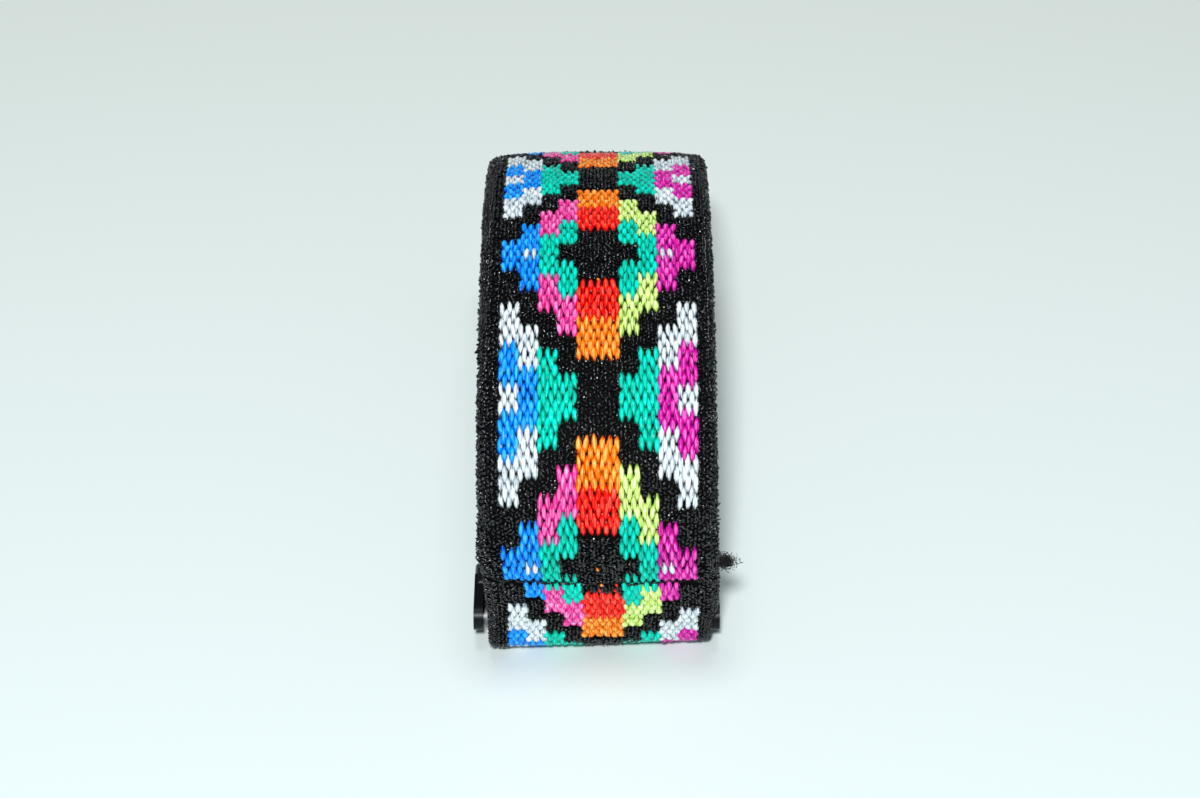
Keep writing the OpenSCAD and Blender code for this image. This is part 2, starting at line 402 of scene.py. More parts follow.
# The five lengths of the band, each with the bodies it lies on: a length on one body rides on it, and one
# between two bodies stays put
lengths = {
    "nearSewnEnd": {"from": bandStart, "to": nearSewnTop, "bodies": ["near_tail"],
                    "nodes": ["near_sewn_end"]},
    "nearShoulder": {"from": nearSewnTop, "to": crownStart, "bodies": ["near_tail", "near_band"],
                     "nodes": ["near_shoulder"]},
    "crown": {"from": crownStart, "to": crownEnd, "bodies": ["near_band", "far_band"],
              "nodes": ["near_crown_face", "near_crown_threads", "near_crown_back",
                        "far_crown_face", "far_crown_threads", "far_crown_back"]},
    "farShoulder": {"from": crownEnd, "to": farSewnTop, "bodies": ["far_band", "far_tail"],
                    "nodes": ["far_shoulder"]},
    "farSewnEnd": {"from": farSewnTop, "to": bandEnd, "bodies": ["far_tail"],
                   "nodes": ["far_sewn_end"]},
}


def follow(piece, part):
    # the piece rides on its length's body; a piece between two bodies is only baked in place
    bodies = part["bodies"]
    if len(bodies) == 1:
        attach(piece, bodies[0])
        return
    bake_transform(piece)


def partOf(s):
    return next(name for name, part in lengths.items() if s <= part["to"] or name == "farSewnEnd")


# Materials
def addNode(tree, kind, settings=None, links=None):
    node = tree.nodes.new(kind)
    for name, value in (settings or {}).items():
        if isinstance(name, int) or name in node.inputs:
            node.inputs[name].default_value = value
        else:
            setattr(node, name, value)
    for name, source in (links or {}).items():
        tree.links.new(source, node.inputs[name])
    return node


def newMaterial(name, **values):
    # a material with one shader, whose plain values are set on its own sockets
    material = bpy.data.materials.new(name)
    material.use_nodes = True
    tree = material.node_tree
    tree.nodes.clear()
    shader = addNode(tree, "ShaderNodeBsdfPrincipled")
    for socket, value in values.items():
        shader.inputs[socket.replace("_", " ")].default_value = value
    addNode(tree, "ShaderNodeOutputMaterial", links={"Surface": shader.outputs["BSDF"]})
    return material, tree, shader


# Textured polyester yarn: each float is a bundle of fine filaments, streaked along its length. Its colour is
# painted light and shade: a painted highlight on its crest, painted shade on its flanks and where it dives
# under the next row, and painted sheen along the streaks, which lighten and darken it.
yarns = {
    "black": {"shades": ["#010102", "#020305", "#06080c"], "roughness": 0.14, "gloss": 0.6,
              "strands": 2, "dent": 0.04},
    "white": {"shades": ["#33424f", "#d2e0e6", "#fcffff"], "roughness": 0.26, "gloss": 0.15},
    "blue": {"shades": ["#002ca8", "#008cf4", "#40c8ff"], "roughness": 0.22, "gloss": 0.2},
    "teal": {"shades": ["#005e48", "#00c6aa", "#04f6e4"], "roughness": 0.22, "gloss": 0.15},
    "rose": {"shades": ["#98004e", "#f03ca0", "#ffa8dc"], "roughness": 0.22, "gloss": 0.2},
    "magenta": {"shades": ["#700060", "#d814a4", "#ff7cd8"], "roughness": 0.22, "gloss": 0.2},
    "red": {"shades": ["#8c0000", "#fc0c02", "#ff6a56"], "roughness": 0.2, "gloss": 0.2},
    "orange": {"shades": ["#a02000", "#ff7c02", "#ffd270"], "roughness": 0.22, "gloss": 0.15},
    "lime": {"shades": ["#2c4a10", "#caf274", "#fbffd2"], "roughness": 0.22, "gloss": 0.15},
}
# Streaks of the filaments, drawn coarser than real ones so that they show; they dent the surface and lighten
# and darken the colour, partly as painted sheen
filaments = {
    "strands": 5,          # streaks across a float
    "lengths": 1.5,        # and along it
    "apart": 40,           # gives each float its own stretch of the noise
    "contrast": 2.0,
    "middle": 0.51,        # level of the noise that leaves the shade as it is
    "dent": 0.12,          # their depth in millimetres
}


def yarnMaterial(name, look):
    look = {**filaments, **look}
    material, tree, shader = newMaterial("polyesterYarn" + name.capitalize(), Roughness=look["roughness"],
                                         Specular_IOR_Level=look["gloss"])
    along = addNode(tree, "ShaderNodeUVMap", {"uv_map": "strand"})
    crest = addNode(tree, "ShaderNodeAttribute", {"attribute_name": "crest"})
    tone = addNode(tree, "ShaderNodeAttribute", {"attribute_name": "tone"})
    apart = addNode(tree, "ShaderNodeCombineXYZ", links={"Z": tone.outputs["Fac"]})
    place = addNode(tree, "ShaderNodeVectorMath", {"operation": "ADD"},
                    {0: along.outputs["UV"], 1: apart.outputs["Vector"]})
    stretch = addNode(tree, "ShaderNodeVectorMath",
                      {"operation": "MULTIPLY", 1: (look["strands"], look["lengths"], look["apart"])},
                      {0: place.outputs["Vector"]})
    streaks = addNode(tree, "ShaderNodeTexNoise", {"Scale": 1.0, "Detail": 2.0, "Roughness": 0.6},
                      {"Vector": stretch.outputs["Vector"]})
    level = addNode(tree, "ShaderNodeMath",
                    {"operation": "MULTIPLY_ADD", 1: look["contrast"], 2: -look["contrast"] * look["middle"]},
                    {0: streaks.outputs["Fac"]})
    # the crest's painted light and shade, moved by the streaks, picks the shade from dark to light
    lit = addNode(tree, "ShaderNodeMath", {"operation": "ADD", "use_clamp": True},
                  {0: crest.outputs["Fac"], 1: level.outputs["Value"]})
    shades = addNode(tree, "ShaderNodeValToRGB", links={"Fac": lit.outputs["Value"]})
    shades.color_ramp.elements.new(0.5)
    for stop, shade in zip(shades.color_ramp.elements, look["shades"]):
        stop.color = hexToLinear(shade)
    bump = addNode(tree, "ShaderNodeBump", {"Strength": 1.0, "Distance": look["dent"] * mm},
                   {"Height": streaks.outputs["Fac"]})
    tree.links.new(shades.outputs["Color"], shader.inputs["Base Color"])
    tree.links.new(bump.outputs["Normal"], shader.inputs["Normal"])
    return material


def twoShades(tree, shader, pattern, dark, light, strength, depth):
    # a pattern mixes two shades, and dents the surface by that depth in millimetres
    colour = addNode(tree, "ShaderNodeMix", {"data_type": "RGBA"}, {"Factor": pattern.outputs["Fac"]})
    colour.inputs["A"].default_value = hexToLinear(dark)
    colour.inputs["B"].default_value = hexToLinear(light)
    bump = addNode(tree, "ShaderNodeBump", {"Strength": strength, "Distance": depth * mm},
                   {"Height": pattern.outputs["Fac"]})
    tree.links.new(colour.outputs["Result"], shader.inputs["Base Color"])
    tree.links.new(bump.outputs["Normal"], shader.inputs["Normal"])


def mottled(name, dark, light, grain, depth, **values):
    # a fine noise of that grain in millimetres
    material, tree, shader = newMaterial(name, **values)
    place = addNode(tree, "ShaderNodeTexCoord")
    noise = addNode(tree, "ShaderNodeTexNoise", {"Scale": 1 / (grain * mm), "Detail": 2.0},
                    {"Vector": place.outputs["Object"]})
    twoShades(tree, shader, noise, dark, light, 0.6, depth)
    return material


def ringed(name, direction, dark, light, pitch, depth, **values):
    # rings across an axis: the tool marks of turned steel, or the wound wire of a spring with painted shade
    # between its turns
    material, tree, shader = newMaterial(name, **values)
    place = addNode(tree, "ShaderNodeTexCoord")
    waveUnit = 2 * math.pi / 20    # the texture's own period at a scale of 1
    rings = addNode(tree, "ShaderNodeTexWave",
                    {"bands_direction": direction, "Scale": waveUnit / (pitch * mm), "Distortion": 0.6},
                    {"Vector": place.outputs["Object"]})
    twoShades(tree, shader, rings, dark, light, 0.5, depth)
    return material


yarnMaterials = {name: yarnMaterial(name, look) for name, look in yarns.items()}
# bound picks and rubber under the floats: matt, seen as the dark pinholes between them
groundMaterial = mottled("boundGroundWeave", "#010101", "#060607", grain=0.4, depth=0.1,
                         Roughness=0.8, Specular_IOR_Level=0.1)
# stainless steel, bead blasted and coated black: satin and nearly even, with a faint grain
coatedSteel = mottled("blackCoatedSteel", "#131316", "#1e1e22", grain=0.06, depth=0.004,
                      Roughness=0.38, Metallic=0.75)
# stainless steel, turned, with fine rings left by the tool: dull on the spring bars, bright on the latches
turnedAcross = ringed("turnedSteelAcross", "X", "#86868b", "#a2a2a7", pitch=0.12, depth=0.003,
                      Roughness=0.6, Metallic=1.0)
turnedAlong = ringed("turnedSteelAlong", "Y", "#a9a9ad", "#c6c6ca", pitch=0.12, depth=0.003,
                     Roughness=0.26, Metallic=1.0)
# drawn spring wire: rounded turns, with painted shade in the gaps between them
woundAcross, woundAlong = (
    ringed("springWire" + name, direction, "#2c2c30", "#8e8f94", pitch=0.36, depth=0.12,
           Roughness=0.35, Metallic=1.0)
    for name, direction in (("Across", "X"), ("Along", "Y")))

hardware = {"_adapter": coatedSteel, "_latch_retainer": coatedSteel, "_latch_plunger": turnedAlong,
            "_latch_spring": woundAlong, "_bar_tube": turnedAcross, "_bar_spring": woundAcross,
            "_bar_tip_left": turnedAcross, "_bar_tip_right": turnedAcross}
for end in ends:
    for suffix, finish in hardware.items():
        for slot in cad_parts[end + suffix].material_slots:
            slot.material = finish
print("materials made")


# Shapes that repeat, modelled once
def shapeOf(piece):
    points = np.array([v.co for v in piece.data.vertices])
    faces = [tuple(p.vertices) for p in piece.data.polygons]
    bpy.data.objects.remove(piece)
    return {"points": points, "faces": faces}


def resizeSome(piece, chosen, amount):
    # scales the vertices that the test picks towards the Y axis
    bpy.ops.object.mode_set(mode="EDIT")
    bpy.ops.mesh.select_all(action="DESELECT")
    bpy.ops.object.mode_set(mode="OBJECT")
    for v in piece.data.vertices:
        v.select = chosen(v.co)
    bpy.ops.object.mode_set(mode="EDIT")
    bpy.ops.transform.resize(value=(amount, 1, amount), center_override=(0, 0, 0))
    bpy.ops.object.mode_set(mode="OBJECT")


def modelFloat(segments, rings, pinch, furrow=1):
    # a float: a spindle along Y, pinched towards its two ends, with a furrow at every other segment
    deselectAll()
    bpy.ops.mesh.primitive_uv_sphere_add(segments=segments, ring_count=rings, radius=1,
                                         rotation=(math.radians(90), 0, 0))
    piece = bpy.context.object
    bpy.ops.object.transform_apply(location=False, rotation=True, scale=False)
    heights = sorted({round(v.co.y, 4) for v in piece.data.vertices})
    for height in heights[1:-1]:
        resizeSome(piece, lambda co: abs(co.y - height) < 0.001, 1 - pinch * height * height)
    resizeSome(piece, lambda co: round(math.atan2(co.z, co.x) / math.tau * segments) % 2 == 0, furrow)
    return shapeOf(piece)


def closeEnds():
    bpy.ops.mesh.select_all(action="SELECT")
    bpy.ops.mesh.remove_doubles(threshold=0.0001)
    bpy.ops.mesh.fill_holes(sides=8)
    bpy.ops.mesh.select_all(action="SELECT")
    bpy.ops.mesh.normals_make_consistent(inside=False)
    bpy.ops.object.mode_set(mode="OBJECT")


def modelHook(sides, thickness, reach, degrees, steps):
    # a bent length of yarn or fibre: a circle spun about Y, so that its middle points along X
    half = math.radians(degrees / 2)
    deselectAll()
    bpy.ops.mesh.primitive_circle_add(vertices=sides, radius=thickness, rotation=(0, -half, 0),
                                      location=(reach * math.cos(half), 0, reach * math.sin(half)))
    piece = bpy.context.object
    bpy.ops.object.transform_apply(location=True, rotation=True)
    bpy.ops.object.mode_set(mode="EDIT")
    bpy.ops.mesh.select_all(action="SELECT")
    bpy.ops.mesh.spin(steps=steps, angle=-2 * half, center=(0, 0, 0), axis=(0, 1, 0))
    closeEnds()
    return shapeOf(piece)


# Sewing thread of two plies, in units of its radius
thread = {"turns": 3, "plyR": 0.55, "plyAt": 0.48, "sides": 5, "stepsPerTurn": 8}


def modelThread():
    # the plies twisted together, along Y from -1 to 1
    deselectAll()
    plies = []
    for hand in (1, -1):
        bpy.ops.mesh.primitive_circle_add(vertices=thread["sides"], radius=thread["plyR"],
                                          location=(hand * thread["plyAt"], 0, 0))
        plies.append(bpy.context.object)
    plies[0].select_set(True)
    bpy.ops.object.join()
    piece = bpy.context.object
    bpy.ops.object.transform_apply(location=True)
    twist = piece.modifiers.new("twist", "SCREW")
    twist.angle = math.radians(360 * thread["turns"])
    twist.screw_offset = 2
    twist.steps = twist.render_steps = thread["stepsPerTurn"] * thread["turns"]
    bpy.ops.object.modifier_apply(modifier="twist")
    bpy.ops.object.mode_set(mode="EDIT")
    bpy.ops.mesh.select_all(action="SELECT")
    bpy.ops.transform.translate(value=(0, 0, -1))
    bpy.ops.transform.rotate(value=math.radians(90), orient_axis="X", center_override=(0, 0, 0))
    closeEnds()
    return shapeOf(piece)


def writeMesh(name, points, shape, count, materialOf, materials, attributes, strand):
    # one mesh of many copies of a shape, each with its own vertices
    sizes = np.array([len(f) for f in shape["faces"]])
    flat = np.concatenate([np.array(f) for f in shape["faces"]])
    corners = (flat[None, :] + np.arange(count)[:, None] * len(shape["points"])).ravel()
    faceSizes = np.tile(sizes, count)
    mesh = bpy.data.meshes.new(name)
    mesh.vertices.add(len(points))
    mesh.vertices.foreach_set("co", points.astype(np.float32).ravel())
    mesh.loops.add(len(corners))
    mesh.loops.foreach_set("vertex_index", corners.astype(np.int32))
    mesh.polygons.add(len(faceSizes))
    mesh.polygons.foreach_set("loop_start", np.concatenate([[0], np.cumsum(faceSizes)[:-1]]).astype(np.int32))
    mesh.polygons.foreach_set("material_index", np.repeat(materialOf, len(sizes)).astype(np.int32))
    mesh.update(calc_edges=True)
    mesh.polygons.foreach_set("use_smooth", np.ones(len(faceSizes), bool))
    for material in materials:
        mesh.materials.append(material)
    for attribute, values in attributes.items():
        mesh.attributes.new(attribute, "FLOAT", "POINT").data.foreach_set("value", values.astype(np.float32))
    mesh.uv_layers.new(name="strand").data.foreach_set("uv", strand[corners].astype(np.float32).ravel())
    piece = bpy.data.objects.new(name, mesh)
    bpy.context.scene.collection.objects.link(piece)
    return piece


# What a place says of its copy: where it lies, its half sizes, how it is turned in radians, how its ends dive
# and its lower end drops, the side of the band, its own tone, and how far its painted light and shade are
# evened out
placeKeys = ("x", "s", "n", "wide", "long", "high", "yaw", "pitch", "roll", "dive", "drop", "side", "tone",
             "even")
sizeKeys = ("wide", "long", "high")
# Painted light and shade on a float: painted shade on its flanks, a painted highlight on its crest; in a sewn
# end the flanks are painted lighter and the painted highlight flatter
paintedShading = {
    "flank": 0.15, "crest": 0.65,
    "spread": 0.4,         # of the crest, from float to float
    "evenFlank": 0.2, "evenCrest": 0.4,
    "evenReach": 2,        # it changes over this much each side of the seam
}


def copiesOnBand(name, shape, places, parted=True):
    # lays a copy of the shape at each place on the band, in its yarn
    tx, ty, tz = (shape["points"][:, i][None, :] for i in range(3))
    x, s, n, wide, long, high, yaw, pitch, roll, dive, drop, side, tone, even = (
        np.array([p.get(key, 0) for p in places], float)[:, None] for key in placeKeys)
    ty = ty + drop * (1 - ty * ty)
    across = -tx * wide
    along = -ty * long
    up = tz * high - dive * ty * ty
    across, along = across * np.cos(yaw) - along * np.sin(yaw), across * np.sin(yaw) + along * np.cos(yaw)
    along, up = along * np.cos(pitch) + up * np.sin(pitch), up * np.cos(pitch) - along * np.sin(pitch)
    across, up = across * np.cos(roll) + up * np.sin(roll), up * np.cos(roll) - across * np.sin(roll)
    x = x + across * side
    points = layOnBand(x, partedAt(x, s, s + along) if parted else s + along, (n + up) * side)
    # painted shade on the flanks and diving ends and a painted highlight on the crest, by where each vertex
    # lies on the float
    crest = paintedShading["flank"] + paintedShading["evenFlank"] * even
    contrast = (paintedShading["crest"] + paintedShading["spread"] * tone) * (1 - paintedShading["evenCrest"] * even)
    crest = crest + tz * (1 - ty * ty) ** 2 * contrast
    attributes = {
        "crest": np.clip(crest, 0, 1).ravel(),
        "tone": np.broadcast_to(tone, points.shape[:2]).ravel(),
    }
    strand = np.stack([np.broadcast_to(t * 0.5 + 0.5, points.shape[:2]) for t in (tx, ty)], axis=-1)
    used = [y for y in yarns if any(p["yarn"] == y for p in places)]
    materialOf = np.array([used.index(p["yarn"]) for p in places])
    return writeMesh(name, points.reshape(-1, 3), shape, len(places), materialOf,
                     [yarnMaterials[y] for y in used], attributes, strand.reshape(-1, 2))


def jitter(spread):
    return float(chance.normal(0, spread))


def unevenly(place, spreads):
    # moves and turns a place at random, alters its sizes by shares of themselves, and draws its tone
    for key, spread in spreads.items():
        value = place.get(key, 0)
        off = jitter(spread)
        place[key] = value * (1 + off) if key in sizeKeys else value + off
    place["tone"] = chance.random()
    return place


floats = {
    # where the elastic is relaxed and neighbours press on each other, and where it is stretched
    "wide": (0.46, 0.345),
    "high": (0.21, 0.27),
    "drop": (0.24, 0.04),  # how much rounder the lower end is
    "long": 1.12,          # half length, in rows
    "freeEnd": 0.88,       # share of the length that shows where no row follows below
    "level": 0.76,         # of the middle, from mid thickness
    "dive": 0.24,          # how far the ends go down under the next rows
    "uneven": {"x": 0.02, "s": 0.04, "n": 0.03, "wide": 0.06, "long": 0.05, "high": 0.06,
               "yaw": 0.07, "pitch": 0.05, "roll": 0.25},
}
# Yarn ends that peek out of the black near the seam and on the crown: x, row and yarn
strays = [(-0.05, 40.8, "orange"), (1.6, 40.8, "red"), (-0.25, 41.6, "red"), (1.5, 41.6, "red"),
          (-0.25, 37.9, "orange"), (0.0, 4.4, "orange")]
strayForm = {"n": 0.9, "wide": 0.17, "long": 0.3, "high": 0.2, "yaw": 0.5, "dive": 0.1}


def floatPlaces():
    places = []
    for row in range(firstRow, lastRow + 1):
        pitch = rowPitch(row)
        opened = float(ramp(pitch, weave["sewnPitch"], weave["openPitch"]))
        form = {key: floats[key][0] + (floats[key][1] - floats[key][0]) * opened
                for key in ("wide", "high", "drop")}
        # in the sewn ends the painted light and shade of the floats is evened out
        even = float(1 - ramp(aboveSeam(rowToDistance(row)), -paintedShading["evenReach"], paintedShading["evenReach"]))
        for h in range(weave["columns"]):
            if not hasFloat(h, row):
                continue
            long = floats["long"] * pitch
            shown = 1 if followedBelow(h, row) else floats["freeEnd"]
            places.append(unevenly({
                **form, "x": xOf(h), "s": rowToDistance(row) + long * (1 - shown), "n": floats["level"],
                "long": long * shown, "dive": floats["dive"], "side": 1, "even": even,
                "yarn": yarnAt(h, row)}, floats["uneven"]))
    for x, row, yarn in strays:
        places.append(unevenly({**strayForm, "x": x, "s": rowToDistance(row), "side": 1, "yarn": yarn}, {}))
    return places


knots = {
    "wide": 0.21,
    "long": 0.3,           # in rows
    "high": 0.1,
    "level": 0.08,         # below the rounded surface
    "stagger": 0.25,       # rows by which every other one is set off
    "overEdge": 0.1,       # the flat rows of them end this far over the rounding's start
    "edgeAngles": (22, 46, 70, 94, 122),   # where they go round each selvedge, in degrees
    "clear": 1.05,         # rows that a float's ends keep free
    "clearBelow": 0.8,     # and that a shortened lower end does
    "notch": 0.7,          # and that two floats side by side keep free between them
    "uneven": {"x": 0.05, "s": 0.06, "n": 0.04, "wide": 0.15, "long": 0.2, "high": 0.15,
               "yaw": 0.8, "pitch": 0.5, "roll": 0.5},
}


def seamBetween(row, other):
    # whether a row of stitches parts the two rows
    a, b = sorted((rowToDistance(row), rowToDistance(other)))
    return any(a < alongEnd(seamLine(0, at), end) < b for end in ends for at in seamMarks)


def underFloat(halfColumn, row):
    # under the end of a float, or in the notch between two of a row
    for r in range(math.ceil(row - knots["clear"]), math.floor(row + knots["clear"]) + 1):
        between = hasFloat(halfColumn - 1, r) and hasFloat(halfColumn + 1, r)
        notched = between and abs(row - r) < knots["notch"]
        shortened = row - r > knots["clearBelow"] and not followedBelow(halfColumn, r)
        if (hasFloat(halfColumn, r) and not shortened or notched) and not seamBetween(r, row):
            return True
    return False


def knotAt(x, n, row, roll):
    # a bound end of black yarn on the face, as a small uneven grain
    return unevenly({"x": x, "s": rowToDistance(row), "n": n, "wide": knots["wide"],
                     "long": knots["long"] * rowPitch(row), "high": knots["high"], "roll": roll,
                     "side": 1, "yarn": "black"}, knots["uneven"])


def knotPlaces():
    # twice a row, wherever no float covers them, and round each selvedge
    places = []
    r = section["edgeR"]
    edge = halfBand - r
    for half in range(2 * firstRow, 2 * lastRow + 1):
        for h in range(-weave["border"], weave["columns"] + weave["border"]):
            row = half / 2 + knots["stagger"] * (h % 2)
            if abs(xOf(h)) < edge + knots["overEdge"] and not underFloat(h, row):
                places.append(knotAt(xOf(h), r - knots["level"], row, 0))
        for i, degrees in enumerate(knots["edgeAngles"]):
            row = half / 2 + knots["stagger"] * (i % 2)
            out, up = (r - knots["level"]) * unit(90 - degrees)
            for hand in (-1, 1):
                places.append(knotAt(hand * (edge + out), up, row, hand * math.radians(degrees)))
    return places


backFloats = {
    "wide": 0.4,
    "high": 0.3,
    "level": 0.62,
    "dive": 0.25,
    "fromBar": 0.5,        # they stop this far above each bar's level, because the fold hides the rest
    "fromEdge": 0.7,
    "uneven": {"x": 0.02, "s": 0.04, "n": 0.02, "yaw": 0.05},
}


def backPlaces():
    # the back shows the negative of the face: a column's yarns float there where the face is black
    places = []
    border = weave["border"]
    for row in range(firstRow, lastRow + 1):
        s = rowToDistance(row)
        if not backFloats["fromBar"] <= s <= loopLength - backFloats["fromBar"]:
            continue
        for h in range(-border + (row + border) % 2, weave["columns"] + border, 2):
            if abs(xOf(h)) > halfBand - backFloats["fromEdge"]:
                continue
            yarn = "black"
            if inPattern(h) and yarnAt(h, row) == "black":
                yarn = yarnAt(h, row + weave["period"] // 2)
            places.append(unevenly({
                "x": xOf(h), "s": s, "n": backFloats["level"], "wide": backFloats["wide"],
                "long": floats["long"] * rowPitch(row), "high": backFloats["high"],
                "dive": backFloats["dive"], "side": -1, "yarn": yarn}, backFloats["uneven"]))
    return places


wraps = {
    "inset": 0.9,          # of their middle from the selvedge
    "long": 1.4,           # in rows
    "uneven": {"x": 0.05, "s": 0.05, "n": 0.04, "wide": 0.05, "long": 0.08, "yaw": 0.07},
}


def wrapPlaces():
    # the weft turns back round each selvedge, twice a row
    places = []
    for half in range(2 * firstRow, 2 * lastRow + 1):
        row = half / 2
        for hand, turn in ((-1, 0), (1, math.pi)):
            places.append(unevenly({
                "x": hand * (halfBand - wraps["inset"]), "s": rowToDistance(row), "wide": 1,
                "long": wraps["long"] * rowPitch(row), "high": 1, "yaw": turn, "side": 1,
                "yarn": "black"}, wraps["uneven"]))
    return places


# The body under the floats
web = {
    "half": 0.6,           # half its thickness
    "narrower": 0.9,       # than the band
    "cut": 0.5,            # it is cut across this often, to follow the bends
    "fewestCuts": 4,
    "lanes": 24,           # and lengthwise into these
    "rounding": 0.95,      # of its edges, as a share of half its thickness
}


def bodyOfElastic(name, low, high):
    # a flat bar, cut across and lengthwise, extruded to its thickness and rounded along its edges
    cuts = max(web["fewestCuts"], round((high - low) / web["cut"]))
    deselectAll()
    bpy.ops.mesh.primitive_grid_add(x_subdivisions=web["lanes"], y_subdivisions=cuts, size=1)
    piece = bpy.context.object
    piece.name = name
    half = web["half"]
    width = section["width"] - web["narrower"]
    bpy.ops.object.mode_set(mode="EDIT")
    bpy.ops.mesh.select_all(action="SELECT")
    bpy.ops.transform.resize(value=(width, high - low, 1))
    bpy.ops.transform.translate(value=(0, (low + high) / 2, -half))
    bpy.ops.mesh.extrude_region_move(TRANSFORM_OT_translate={"value": (0, 0, 2 * half)})
    bpy.ops.mesh.select_all(action="SELECT")
    bpy.ops.mesh.normals_make_consistent(inside=False)
    bpy.ops.mesh.select_all(action="DESELECT")
    bpy.ops.object.mode_set(mode="OBJECT")
    vertices = piece.data.vertices
    for edge in piece.data.edges:
        a, b = (vertices[i].co for i in edge.vertices)
        lengthwise = abs(a.x - b.x) < 1e-4 and abs(a.z - b.z) < 1e-4
        edge.select = lengthwise and abs(abs(a.x) - width / 2) < 1e-3
    bpy.ops.object.mode_set(mode="EDIT")
    bpy.ops.mesh.select_mode(type="EDGE")
    bpy.ops.mesh.bevel(offset=half * web["rounding"], segments=3, affect="EDGES")
    bpy.ops.mesh.select_mode(type="VERT")
    bpy.ops.object.mode_set(mode="OBJECT")
    co = np.array([v.co for v in vertices])
    vertices.foreach_set("co", layOnBand(co[:, 0], co[:, 1], co[:, 2]).astype(np.float32).ravel())
    piece.data.update()
    piece.data.polygons.foreach_set("use_smooth", np.ones(len(piece.data.polygons), bool))
    piece.data.materials.append(groundMaterial)
    return piece


floatShape = modelFloat(segments=10, rings=5, pinch=0.3, furrow=0.84)
knotShape = modelFloat(segments=6, rings=4, pinch=0.1)
wrapShape = modelHook(sides=5, thickness=0.2, reach=0.56, degrees=210, steps=6)
layered = {"Floats": (floatShape, floatPlaces()), "Knots": (knotShape, knotPlaces()),
           "Selvedges": (wrapShape, wrapPlaces()), "Back": (floatShape, backPlaces())}
print("weave:", {layer: len(places) for layer, (shape, places) in layered.items()})

for name, part in lengths.items():
    pieces = {"Body": bodyOfElastic(name + "Body", part["from"], part["to"])}
    for layer, (shape, places) in layered.items():
        pieces[layer] = copiesOnBand(name + layer, shape, [p for p in places if partOf(p["s"]) == name])
    for layer, piece in pieces.items():
        follow(piece, part)
    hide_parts(*part["nodes"])
    print(name, "laid:", {layer: len(piece.data.polygons) for layer, piece in pieces.items()})

# Seams: a row of lock stitches through both layers at each end, sunk in its groove
stitching = {
    "stitches": 10,
    "pitch": 2.42,
    "gap": 0.3,          # between a stitch and the next
    "threadR": 0.11,
    "level": 1.15,       # of a stitch's middle, before the groove
    "dive": 0.4,
    "uneven": {"x": 0.05, "s": 0.04, "yaw": 0.07},
}


def stitchPlaces(end):
    places = []
    for at in seamMarks:
        for i in range(stitching["stitches"]):
            x = (i - (stitching["stitches"] - 1) / 2) * stitching["pitch"]
            places.append(unevenly({
                "x": x, "s": alongEnd(seamLine(x, at), end), "n": stitching["level"],
                "wide": stitching["threadR"], "long": (stitching["pitch"] - stitching["gap"]) / 2,
                "high": stitching["threadR"], "yaw": math.pi / 2, "dive": stitching["dive"],
                "side": 1, "yarn": "black"}, stitching["uneven"]))
    return places


threadShape = modelThread()
for end in ends:
    seam = copiesOnBand(end + "Stitches", threadShape, stitchPlaces(end), parted=False)
    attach(seam, end + "_tail")
    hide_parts(end + "_seam")
print("seams sewn")

# Frayed yarn ends: a tuft where the folded-in tab was cut, at one edge of each seam, and a fringe along the
# cut. A fibre's size is the least, and more at random; in the fringe these are shares of its own size.
tufts = {
    "near": {"x": 13.35, "s": 10.2, "n": -1.0, "spread": (0.42, 0.3, 0.35), "fibres": 400},
    "far": {"x": -12.7, "s": 10.7, "n": -1.2, "spread": (0.35, 0.3, 0.3), "fibres": 120},
}
tuftSize = {"least": 0.2, "more": 0.25}
fringe = {
    "fibres": 110,
    "size": 0.55, "least": 0.6, "more": 0.6,
    "fromEdge": 0.8,
    "fromCut": 0.15,
    "spreadAlong": 0.1, "spreadOut": 0.5,
}
fibreLight = 0.6       # of the black yarn's shades, on all sides alike


def looseFibres(name, shape, spots, sizes, turns):
    # fibres of those sizes at spots in millimetres, each turned its own way
    cx, cy, cz = np.cos(turns).T[:, :, None]
    sx, sy, sz = np.sin(turns).T[:, :, None]
    x, y, z = (shape["points"][:, i][None, :] * sizes[:, None] for i in range(3))
    y, z = y * cx - z * sx, y * sx + z * cx
    x, z = x * cy + z * sy, z * cy - x * sy
    x, y = x * cz - y * sz, x * sz + y * cz
    points = ((np.stack([x, y, z], axis=-1) + spots[:, None, :]) * mm).reshape(-1, 3)
    attributes = {"crest": np.full(len(points), fibreLight),
                  "tone": np.repeat(chance.random(len(spots)), len(shape["points"]))}
    return writeMesh(name, points, shape, len(spots), np.zeros(len(spots)), [yarnMaterials["black"]],
                     attributes, np.zeros((len(points), 2)))


fibreShape = modelHook(sides=3, thickness=0.1, reach=1, degrees=110, steps=5)
for end, tuft in tufts.items():
    spots = []
    sizes = []
    for i in range(tuft["fibres"]):
        dx, ds, dn = (jitter(spread) for spread in tuft["spread"])
        spots.append(spotOnBand(tuft["x"] + dx, alongEnd(tuft["s"] + ds, end), tuft["n"] + dn))
        sizes.append(tuftSize["least"] + tuftSize["more"] * chance.random())
    for i in range(fringe["fibres"]):
        x = chance.uniform(-halfBand + fringe["fromEdge"], halfBand - fringe["fromEdge"])
        s = bandStart + fringe["fromCut"] + jitter(fringe["spreadAlong"])
        spots.append(spotOnBand(x, alongEnd(s, end), jitter(fringe["spreadOut"])))
        sizes.append(fringe["size"] * (fringe["least"] + fringe["more"] * chance.random()))
    turns = chance.uniform(-math.pi, math.pi, (len(spots), 3))
    frayed = looseFibres(end + "FrayedYarn", fibreShape, np.array(spots) / mm, np.array(sizes), turns)
    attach(frayed, end + "_tail")
print("yarn ends frayed")

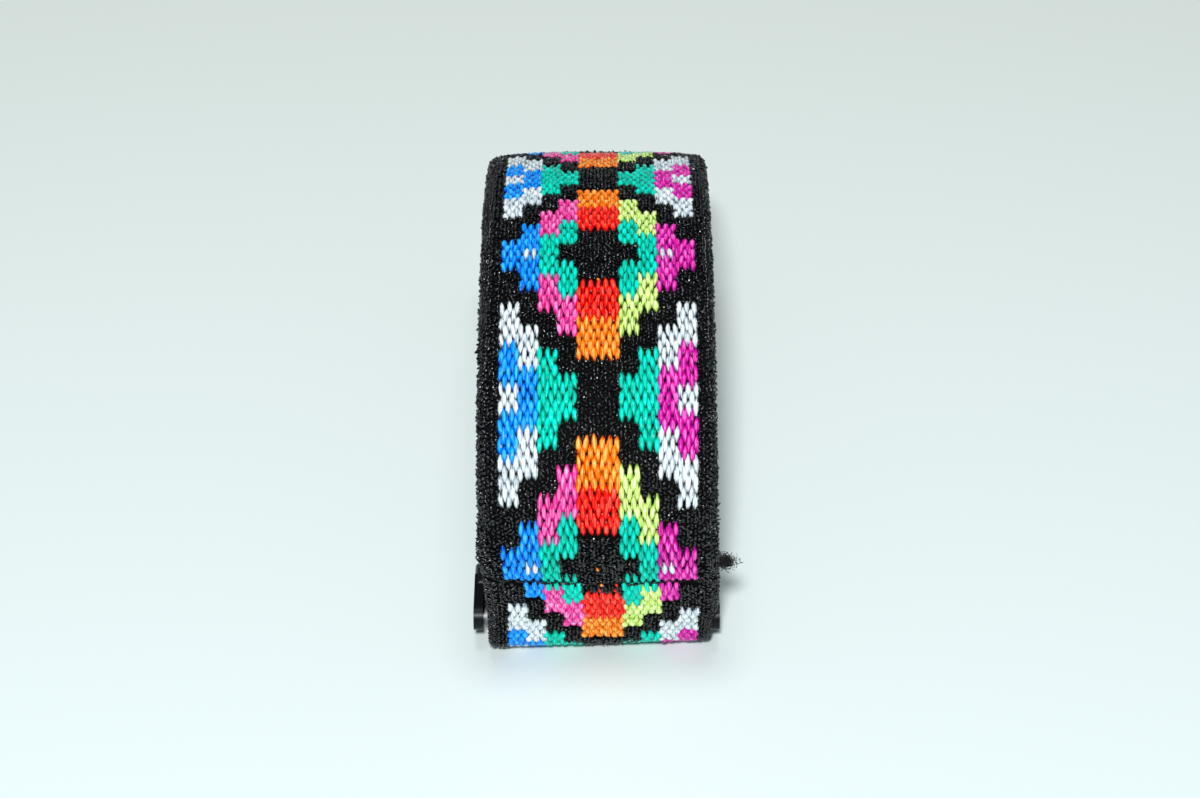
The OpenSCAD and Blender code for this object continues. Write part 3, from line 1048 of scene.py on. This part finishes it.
# Floor, light and camera, in metres
studio = {
    "floorSize": 6.0,
    # the floor is painted a little darker towards the back, a painted falloff of the light
    "floorColours": ("#d9e4e4", "#d9e1db"),
    "floorFrom": -0.05, "floorTo": 0.1,    # where it fades from the first to the second
    "keyPlace": (-0.03, -0.42, 0.50), "keySize": 0.08, "keyPower": 4.0,
    "topPlace": (0.0, 0.08, 0.80), "topSize": 0.3, "topPower": 2.0,
    "lampAim": (0, 0, 0.015),
    "worldColour": "#d6ebfa", "worldStrength": 0.18,
}
view = {
    "aim": (0.00037, -0.01018, 0.018),
    "distance": 0.3465,
    "elevation": 40.3,
    "lens": 93.0,
    "clipStart": 0.01,
}


def areaLight(name, place, size, power):
    light = bpy.data.lights.new(name, "AREA")
    light.shape = "DISK"
    light.size = size
    light.energy = power
    lamp = bpy.data.objects.new(name, light)
    bpy.context.scene.collection.objects.link(lamp)
    lamp.location = place
    away = lamp.location.copy() - type(lamp.location)(studio["lampAim"])
    lamp.rotation_euler = away.to_track_quat("Z", "Y").to_euler()


def paper():
    # matt paper: a soft even pale tone, painted a little darker towards the back as a painted falloff of the
    # light
    material, tree, shader = newMaterial("mattPaper", Roughness=0.9, Specular_IOR_Level=0.2)
    place = addNode(tree, "ShaderNodeTexCoord")
    apart = addNode(tree, "ShaderNodeSeparateXYZ", links={0: place.outputs["Object"]})
    depth = addNode(tree, "ShaderNodeMapRange",
                    {"From Min": studio["floorFrom"], "From Max": studio["floorTo"]},
                    {"Value": apart.outputs["Y"]})
    colour = addNode(tree, "ShaderNodeMix", {"data_type": "RGBA"}, {"Factor": depth.outputs["Result"]})
    for socket, shade in zip("AB", studio["floorColours"]):
        colour.inputs[socket].default_value = hexToLinear(shade)
    tree.links.new(colour.outputs["Result"], shader.inputs["Base Color"])
    return material


deselectAll()
bpy.ops.mesh.primitive_plane_add(size=studio["floorSize"])
floor = bpy.context.object
floor.name = "paperFloor"
floor.data.materials.append(paper())
for lamp in ("key", "top"):
    areaLight(lamp + "Light", studio[lamp + "Place"], studio[lamp + "Size"], studio[lamp + "Power"])
world = bpy.data.worlds.new("paleRoom")
world.use_nodes = True
backdrop = world.node_tree.nodes["Background"]
backdrop.inputs["Color"].default_value = hexToLinear(studio["worldColour"])
backdrop.inputs["Strength"].default_value = studio["worldStrength"]
bpy.context.scene.world = world

camera = bpy.data.objects.new("camera", bpy.data.cameras.new("camera"))
bpy.context.scene.collection.objects.link(camera)
camera.data.lens = view["lens"]
camera.data.clip_start = view["clipStart"]
tilt = math.radians(view["elevation"])
back = (0, -math.cos(tilt), math.sin(tilt))
camera.location = tuple(a + view["distance"] * b for a, b in zip(view["aim"], back))
camera.rotation_euler = (math.pi / 2 - tilt, 0, 0)
bpy.context.scene.camera = camera
bpy.context.scene.view_settings.view_transform = "Standard"
print("studio set")
